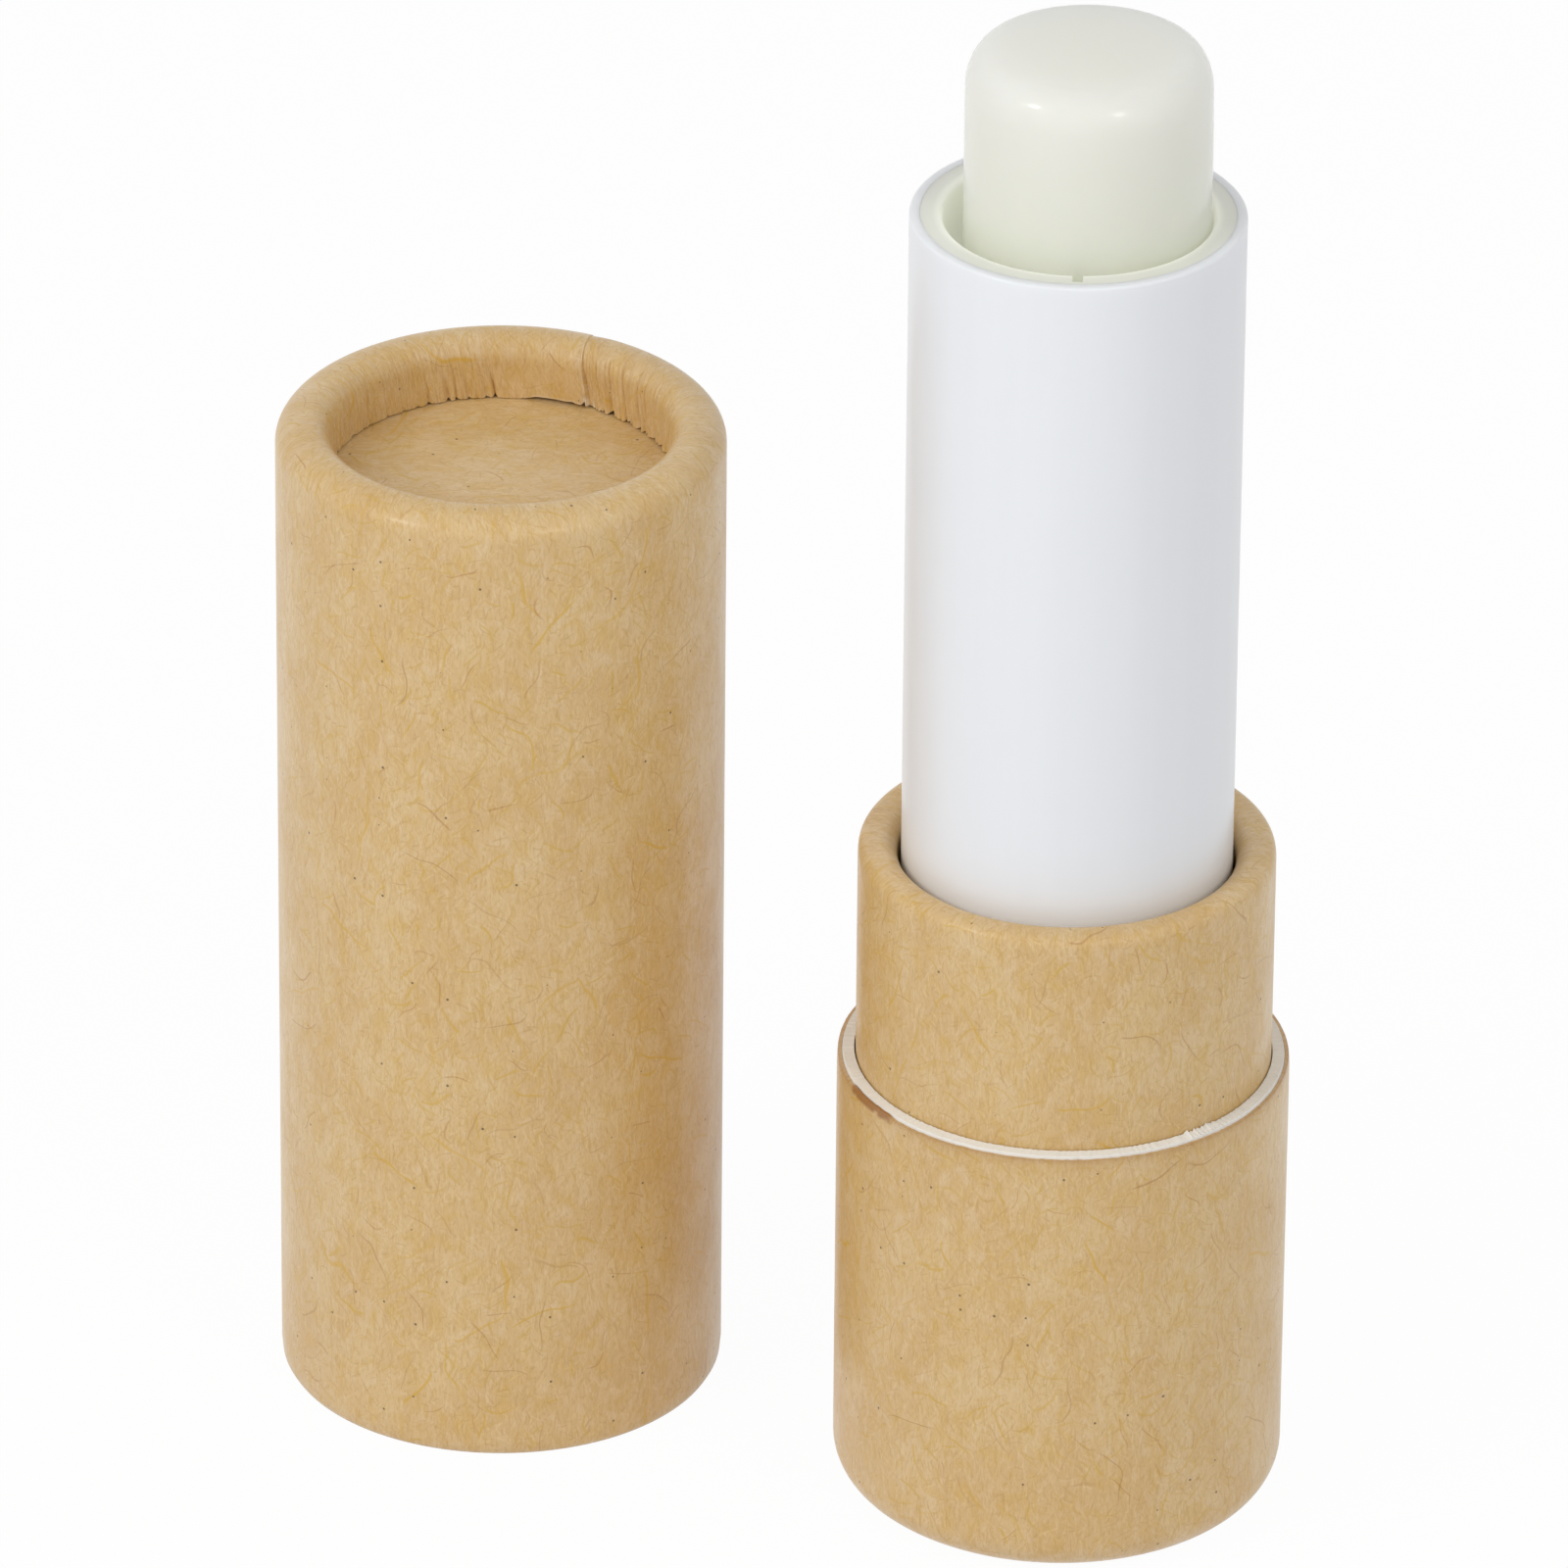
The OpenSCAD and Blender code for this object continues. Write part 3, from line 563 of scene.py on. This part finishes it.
def rounded(corners, radius, steps=6):
    """Closed outline through corners with each one rounded: an arc of a quadratic Bezier curve that
    starts and ends `radius` from the corner. A radius of 0 keeps the corner."""
    corners = np.array(corners, float)
    before, after = np.roll(corners, 1, axis=0), np.roll(corners, -1, axis=0)
    line = []
    for point, last, following, cut in zip(corners, before, after, radius):
        if cut == 0:
            line.append(point[None])
            continue
        start = point + (last - point) / np.linalg.norm(last - point) * cut
        end = point + (following - point) / np.linalg.norm(following - point) * cut
        t = np.linspace(0, 1, steps)[:, None]
        line.append((1 - t) ** 2 * start + 2 * t * (1 - t) * point + t ** 2 * end)
    return np.concatenate(line)


_, barrel_r, barrel_foot, barrel_top = span("barrel")
bore = barrel_r - BARREL_WALL
floor = barrel_foot + BARREL_FLOOR
outline = rounded(
    [(BARREL_EYE, barrel_foot), (barrel_r, barrel_foot), (barrel_r, barrel_top), (bore, barrel_top),
     (bore, floor), (BARREL_EYE, floor)],
    [0, BARREL_EDGE, BARREL_EDGE, 0, 0, 0])
round_ = np.arange(0, 360, 0.75)
run = length_along(outline)
barrel = ring_mesh(
    "barrel_shell", upright(0, round_, outline[:, :1], outline[:, 1:]),
    sheet_of(round_, run, barrel_r, (0, 0)))
barrel.data.materials.append(gloss)
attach(barrel, "barrel")
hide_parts("barrel")

# Guide sleeve
# Sleeve of natural, milky polypropylene pressed into the barrel. Its two grooves keep the carriage
# from turning, and its end shows as a greenish grey ring round the balm.

GUIDE_FIT = 0.004       # gap to the barrel's bore, too fine to show
GUIDE_SUNK = 0.006      # its end lies this far below the barrel's mouth
GUIDE_INNER = 0.35      # rounding of its inner edge, which leads the balm back in
BALM_ROOM = 0.5         # the radius of the bore is this much more than the balm's
GROOVE_WIDE = 0.5       # 0.1 more than the keys that run in it
GROOVE_DEEP = 0.6
GROOVE_BESIDE = 0.25    # a row of points this far beside each groove keeps its edge crisp, in degrees
GROOVE_TO = -69         # direction of the first groove, in degrees
BORE_GLOW = 0.21        # painted glow of the bore, standing in for light come through the walls, where 1 is white

_, _, guide_foot, _ = span("guide_sleeve")
guide_r = bore - GUIDE_FIT
guide_top = barrel_top - GUIDE_SUNK
guide_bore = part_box("balm")[1][0] / MM + BALM_ROOM


def milky_surface(tree):
    """Natural polypropylene: cloudy, lets light in for about a millimetre, faintly green. Light that
    has come through the walls fills the bore: more bounces than a render takes, so the bore is given
    a painted glow, from its surface to the bottom of the grooves."""
    place = add(tree, "ShaderNodeTexCoord", out="Object")
    cloud = add(tree, "ShaderNodeTexNoise", {"Vector": place, "Scale": 0.3 / MM, "Detail": 1.0})
    across = add(tree, "ShaderNodeVectorMath", {0: place, 1: (1, 1, 0)}, operation="MULTIPLY")
    away = add(tree, "ShaderNodeVectorMath", {0: across}, out="Value", operation="LENGTH")
    glow = add(tree, "ShaderNodeMapRange", {0: away, 1: (guide_bore + 0.02) * MM,
                                            2: (guide_bore + GROOVE_DEEP) * MM, 3: BORE_GLOW, 4: 0.0},
               interpolation_type="SMOOTHSTEP")
    ground = add(tree, "ShaderNodeMix", {0: cloud, 6: linear("#eff0e6"), 7: linear("#ebece1")},
                 out=2, data_type="RGBA")
    return {"Base Color": ground, "Roughness": 0.32, "IOR": 1.49, "Subsurface Weight": 0.25,
            "Subsurface Scale": MM, "Subsurface Radius": (1.2, 1.2, 1.1),
            "Emission Color": linear("#eceee4"), "Emission Strength": glow}


milky = finish_of("natural polypropylene", milky_surface)
side = math.degrees(math.asin(GROOVE_WIDE / 2 / guide_bore))
to_wall = np.array([-side - GROOVE_BESIDE, -side, 0.02 - side])     # its wall is 0.02 degrees wide
groove = np.concatenate([to_wall, -to_wall[::-1]])
plain = np.linspace(side + 2, 180 - side - 2, 150)
half = np.concatenate([groove, plain])
round_ = GROOVE_TO + np.concatenate([half, half + 180])
in_groove = np.concatenate([[0, 0, 1, 1, 0, 0], 0 * plain] * 2)
outline = rounded(
    [(guide_r, guide_foot), (guide_r, guide_top), (guide_bore, guide_top), (guide_bore, guide_foot)],
    [0, 0, GUIDE_INNER, 0], 9)
inside = (outline[:, 0] < (guide_r + guide_bore) / 2)[:, None]
radius = outline[:, :1] + inside * in_groove * GROOVE_DEEP
run = length_along(outline)
guide = ring_mesh(
    "guide_sleeve_natural", upright(0, round_, radius, outline[:, 1:]),
    sheet_of(round_, run, guide_r, (0, 0)))
guide.data.materials.append(milky)
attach(guide, "barrel")
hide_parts("guide_sleeve")

# Balm
# Wax and oil poured warm round the carriage and its screw hole, and set in the sleeve. Use has worn
# its top edge round, and pushed it over, so it leans against one side of the sleeve.

WORN_WIDE = 1.3         # the worn edge is a quarter of an ellipse this wide
WORN_HIGH = 2.0         # and this high
CROWN = 0.1             # rise of the top to its middle
LEAN = 0.42
LEAN_TO = 22            # direction of the lean, in degrees
LEAN_HIGH = 30          # height in which the lean grows to its full size
SLUMP = 0.05            # unevenness of the worn edge
BALM_SHRINK = 0.02      # drawn in by this much as it set
GREEN_FROM = (68.5, 74.5)   # heights between which the greener foot fades out
CUP_TOP = 30.5          # the carriage's cup holds the balm upright up to here
NUT_R = 3.9             # radius of the carriage's nut, round which the balm was poured
SCREW_HOLE = (2.85, 28.05, 66.25)    # radius, foot and top of the hole for the screw


def wax_surface(tree):
    """Balm of wax and oil: pale greenish cream, light sinks deep in, skin slightly greasy, with soft
    strokes 0.7 mm wide and 4 mm long down the stick."""
    place = add(tree, "ShaderNodeTexCoord", out="Object")
    height = add(tree, "ShaderNodeSeparateXYZ", {0: place}, out=2)
    cloud = add(tree, "ShaderNodeTexNoise", {"Vector": place, "Scale": 0.22 / MM, "Detail": 2.0})
    ground = add(tree, "ShaderNodeMix", {0: cloud, 6: linear("#e9e9e1"), 7: linear("#e6e6dc")},
                 out=2, data_type="RGBA")
    ground = stained(tree, ground, height, GREEN_FROM[1] * MM, GREEN_FROM[0] * MM, 0.5, "#ebeedb")
    rub = add(tree, "ShaderNodeMapping", {"Vector": place, "Scale": (1.5 / MM, 1.5 / MM, 0.22 / MM)})
    drag = add(tree, "ShaderNodeTexNoise", {"Vector": rub, "Scale": 1.0, "Detail": 3.0})
    relief = add(tree, "ShaderNodeBump", {"Strength": 0.25, "Distance": 0.03 * MM, "Height": drag})
    return {"Base Color": ground, "Roughness": 0.4, "IOR": 1.45, "Normal": relief,
            "Coat Weight": 0.6, "Coat Roughness": 0.15,
            "Subsurface Weight": 1.0, "Subsurface Scale": MM, "Subsurface Radius": (8.0, 8.0, 7.2)}


wax = finish_of("wax balm", wax_surface)
_, balm_r, balm_foot, balm_top = span("balm")
hole_r, hole_foot, hole_top = SCREW_HOLE
turn = np.linspace(0, np.pi / 2, 14)
flat = np.linspace(1, 0, 24)
worn_from = balm_top - CROWN - WORN_HIGH
worn_in = balm_r - WORN_WIDE
inner = np.array([(0, hole_top), (hole_r, hole_top), (hole_r, hole_foot), (NUT_R, hole_foot),
                  (NUT_R, balm_foot)])
line = np.concatenate([
    inner,
    np.stack([np.full(36, balm_r), np.linspace(balm_foot, worn_from, 36)], 1),
    np.stack([worn_in + WORN_WIDE * np.cos(turn[1:]), worn_from + WORN_HIGH * np.sin(turn[1:])], 1),
    np.stack([worn_in * flat[1:], balm_top - CROWN * flat[1:] ** 2], 1)])
round_ = np.arange(0, 360, 1.5)
radius = line[:, :1]
height = np.broadcast_to(line[:, 1:], (line.shape[0], round_.size)).copy()
outer = (np.arange(line.shape[0]) >= inner.shape[0])[:, None]
bend = LEAN * soft_step((height - CUP_TOP) / LEAN_HIGH) * outer
near_edge = np.exp(-((height - balm_top + WORN_HIGH) / WORN_HIGH) ** 2)
slump = SLUMP * ripple(np.radians(round_), 61, 4) * near_edge * outer
points = upright(0, round_, radius - (slump + BALM_SHRINK) * (radius > 1), height)
points[..., 0] += bend * math.cos(math.radians(LEAN_TO))
points[..., 1] += bend * math.sin(math.radians(LEAN_TO))
run = length_along(line)
sheet = sheet_of(round_, run, balm_r, (0, 0))[:-1]
balm = ring_mesh("balm_stick", points, sheet, loop=False)
balm.data.materials.append(wax)
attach(balm, "carriage")
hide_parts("balm")

# Cap: kraft skin
# The pull-off cap is a tube like the base sleeve, kraft over board. Its closed end is rolled inwards
# onto a disc: there the paper is gathered into folds, the glued seam shows as the edge of a smoother
# flap, and the turned-in edge is uneven. The mouth is nipped in by the knife that cut it.

CAP_RIM = dict(out=1.5, flat=0.1, inn=1.1, high=1.3)
CAP_SEAM = 88.7         # direction of the seam on the wall, in degrees
SEAM_DRIFT = 6.0        # how far the seam turns on its way over the rim, in degrees
CAP_FOLDS = (6.0, 0.17)     # pitch in degrees and depth of the large folds
CAP_WRINKLES = (1.9, 0.07)  # and of the small ones between them
FLAP = 32               # width of the smoother flap on the left of the seam, in degrees
FLAP_STEP = 0.1         # how far the flap stands out over the other end
LIFTED = (1, 21)        # where the flap's end stands off the disc, in degrees from the seam
TORN = (-2.5, 1.5)      # where the flap's corner is torn to the pale inside of the paper
CAP_NIP = (0.35, 0.7)   # how far the mouth is nipped in, and how high up

# The deepest creases: degrees from the seam, depth, and width in degrees.
TUCKS = ((33.6, 0.22, 0.55), (42.5, 0.1, 0.6), (49.6, 0.14, 0.55), (-8.5, 0.16, 0.5), (-17, 0.12, 0.5))


def nipped(height):
    """How far the wall is drawn in near the mouth: a quarter of an ellipse, 0 from CAP_NIP[1] up."""
    up = np.clip(1 - height / CAP_NIP[1], 0, 1)
    return CAP_NIP[0] * (1 - np.sqrt(1 - up ** 2))


def from_seam(degrees):
    """Direction from the seam, -180 to 180 degrees."""
    return np.mod(degrees + 180, 360) - 180


def cap_calm(degrees):
    """Depth of the creases: nearly none on the flap, deep and close on the other side of the seam."""
    off = from_seam(degrees)
    return 1 - 0.8 * between(off, (1, FLAP), 4) + 0.9 * between(off, (-75, -1), 12)


cap_x, cap_r, _, cap_top = span("cap_wrap")
disc_top = span("cap_disc_face")[3]
angles = CAP_SEAM + np.arange(PLACES) * 360 / PLACES
r, z, run, fold, face, nr, nz = rolled_wall(cap_r, 0, cap_top, CAP_RIM, disc_top, KRAFT_T)
turned = angles - SEAM_DRIFT * fold
off = from_seam(angles - CAP_SEAM)
creases = gathers(off, fold, *CAP_FOLDS, 71, lean=2.5, sway=0.5, calm=cap_calm)
small = gathers(off, soft_step(fold * 1.6), *CAP_WRINKLES, 73, lean=2, sway=0.35, calm=cap_calm)
creases = creases + small
for place, depth, width in TUCKS:
    near = np.exp(-np.abs(from_seam(off - place - 1.2 * np.sin(5 * fold))) / width)
    creases = creases + depth * near * soft_step((fold - 0.62) / 0.3)

# The end under the flap sinks towards the seam, and the flap is raised to cover it.
under = np.where(off < 0, (0.03 + 0.22 * fold ** 2) * (1 - soft_step(-off / 7)), 0)
over = np.where(off >= 0, FLAP_STEP * soft_step((fold - 0.5) / 0.3) * (1 - soft_step(off / FLAP)), 0)
waves = 0.02 * (0.5 + 0.5 * ripple(np.radians(angles), 74, 6)) * (1 - fold)
sink = creases + under - over + waves
uneven = 0.5 + 0.5 * ripple(np.radians(angles), 77, 60, 0.35)
lifted = between(off, LIFTED, 8)
turned_in = soft_step((fold - 0.75) / 0.25)
r = r - face * nr * sink - nipped(z) * (fold == 0)
z = z - face * nz * sink + turned_in * (0.05 * uneven + 0.16 * lifted + 0.9 * creases)

# Pale paper shows at the torn corner, along the seam and on the lifted end.
torn = turned_in * soft_step((fold - 0.9) / 0.08) * between(off, TORN, 1)
torn = torn + 0.35 * between(off, (0, 0.6), 0.3) * soft_step((fold - 0.3) / 0.2)
torn = torn + 0.35 * soft_step((fold - 0.975) / 0.02) * lifted
torn = face * np.clip(torn, 0, 1)
cap_wrap = ring_mesh(
    "cap_wrap_skin", upright(cap_x, turned, r, z), sheet_of(angles, run[:, 0], cap_r, (200, 130)),
    marks={"fold": fold * (1 - 0.6 * between(off, (1, FLAP), 5)), "worn": 0 * fold, "bare": torn})
cap_wrap.data.materials.append(kraft)
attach(cap_wrap, "cap")
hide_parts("cap_wrap")

# Cap: board and top disc
# The board tube lies under the skin and shows at the mouth, and the disc, board with a kraft face, is
# glued in against the turned-in rim. The grain of the disc runs across the cap.

CAP_BOARD_T = 0.5
BOARD_SHORT = 0.5       # the board ends this far above the disc, so the skin alone meets it
BOARD_LEFT = 0.12       # least thickness of the board where the mouth is nipped in

r, z, run, fold, face, _, _ = rolled_wall(
    cap_r - KRAFT_T, 0, cap_top - KRAFT_T, under_skin(CAP_RIM), disc_top + BOARD_SHORT, CAP_BOARD_T)
nip = np.minimum(nipped(z), CAP_BOARD_T - BOARD_LEFT)
r = r - face * nip * (fold == 0)
cap_tube = ring_mesh(
    "cap_tube_board", upright(cap_x, angles[::2], r, z),
    sheet_of(angles[::2], run[:, 0], cap_r, (0, 0)))
cap_tube.data.materials.append(board)
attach(cap_tube, "cap")
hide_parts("cap_tube")

cap_disc_face = paper_disc("cap_disc_kraft", "cap_disc_face", 22, (400, 200), 1)
cap_disc_face.data.materials.append(kraft)
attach(cap_disc_face, "cap")
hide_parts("cap_disc_face")
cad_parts["cap_disc_board"].data.materials[0] = board

# Studio
# A pale sweep under soft light: a wide lamp on the camera's left, a small one on its right, and an
# even white surround. The camera stands where the photograph was taken.

CAMERA_AIM = Vector((-18.60, 9.55, 29.29)) * MM
CAMERA_AWAY = 796.23 * MM
CAMERA_TURN = math.radians(22.03)
CAMERA_RISE = math.radians(28.39)
CAMERA_ROLL = math.radians(0.503)
CAMERA_LENS = 371.64
SENSOR_WIDE = 36
SURROUND = 0.49         # how strongly the surround lights the object
FLOOR_WHITE = 0.965     # share of the floor that stays white in the shadow
FLOOR_HALF = 3          # half the floor's width, in metres
LAMP_AWAY = 600 * MM

scene = bpy.context.scene
scene.view_settings.view_transform = "Standard"
turn = Euler((math.pi / 2 - CAMERA_RISE, 0, CAMERA_TURN)).to_matrix()
turn = turn @ Matrix.Rotation(CAMERA_ROLL, 3, "Z")
camera = bpy.data.objects.new("camera", bpy.data.cameras.new("camera"))
scene.collection.objects.link(camera)
camera.data.sensor_width = SENSOR_WIDE
camera.data.lens = CAMERA_LENS
camera.data.clip_end = 10
camera.matrix_world = Matrix.Translation(CAMERA_AIM + turn.col[2] * CAMERA_AWAY) @ turn.to_4x4()
scene.camera = camera


def seen(tree):
    """1 where the camera, a reflection or a view through glass looks, and 0 for light on the object."""
    path = add(tree, "ShaderNodeLightPath").node.outputs
    both = add(tree, "ShaderNodeMath", {0: path["Is Camera Ray"], 1: path["Is Glossy Ray"]},
               operation="MAXIMUM")
    return add(tree, "ShaderNodeMath", {0: both, 1: path["Is Transmission Ray"]}, operation="MAXIMUM")


surround = bpy.data.worlds.new("white surround")
surround.use_nodes = True
tree = surround.node_tree
tree.nodes.clear()
shown = add(tree, "ShaderNodeMapRange", {0: seen(tree), 3: SURROUND, 4: 1.0})
glow = add(tree, "ShaderNodeBackground", {"Color": (1, 1, 1, 1), "Strength": shown})
tree.links.new(glow, tree.nodes.new("ShaderNodeOutputWorld").inputs["Surface"])
scene.world = surround

sweep = bpy.data.materials.new("pale paper sweep")
sweep.use_nodes = True
tree = sweep.node_tree
tree.nodes.clear()
paper = add(tree, "ShaderNodeBsdfDiffuse", {"Color": (0.9, 0.9, 0.9, 1)})
white = add(tree, "ShaderNodeEmission", {"Color": (1, 1, 1, 1), "Strength": 1.0})
share = add(tree, "ShaderNodeMath", {0: seen(tree), 1: FLOOR_WHITE}, operation="MULTIPLY")
mixed = add(tree, "ShaderNodeMixShader", {0: share, 1: paper, 2: white})
tree.links.new(mixed, tree.nodes.new("ShaderNodeOutputMaterial").inputs["Surface"])
corners = [(x * FLOOR_HALF, y * FLOOR_HALF, 0) for x, y in ((-1, -1), (1, -1), (1, 1), (-1, 1))]
floor_mesh = bpy.data.meshes.new("sweep")
floor_mesh.from_pydata(corners, [], [(0, 1, 2, 3)])
floor_mesh.materials.append(sweep)
sweep_floor = bpy.data.objects.new("sweep", floor_mesh)
scene.collection.objects.link(sweep_floor)


def lamp(name, beside, rise, size, watts, mirrored):
    """Square soft lamp `size` metres wide, `beside` degrees to the right of the camera and `rise`
    degrees up. Only a mirrored one shows in reflections: the hot spots stand for the brightest parts
    of the two lamps."""
    light = bpy.data.lights.new(name, "AREA")
    light.size = size
    light.energy = watts
    around = CAMERA_TURN - math.pi / 2 + math.radians(beside)
    up = math.radians(rise)
    way = Vector((math.cos(around) * math.cos(up), math.sin(around) * math.cos(up), math.sin(up)))
    lit = bpy.data.objects.new(name, light)
    lit.visible_glossy = mirrored
    lit.matrix_world = (Matrix.Translation(CAMERA_AIM + way * LAMP_AWAY)
                        @ way.to_track_quat("Z", "Y").to_matrix().to_4x4())
    scene.collection.objects.link(lit)


lamp("wide lamp", -52, 40, 0.36, 0.95, False)
lamp("small lamp", 40, 43, 0.2, 0.42, False)
lamp("left hot spot", -54, 31, 0.08, 0.3, True)
lamp("right hot spot", 27, 29, 0.08, 0.22, True)
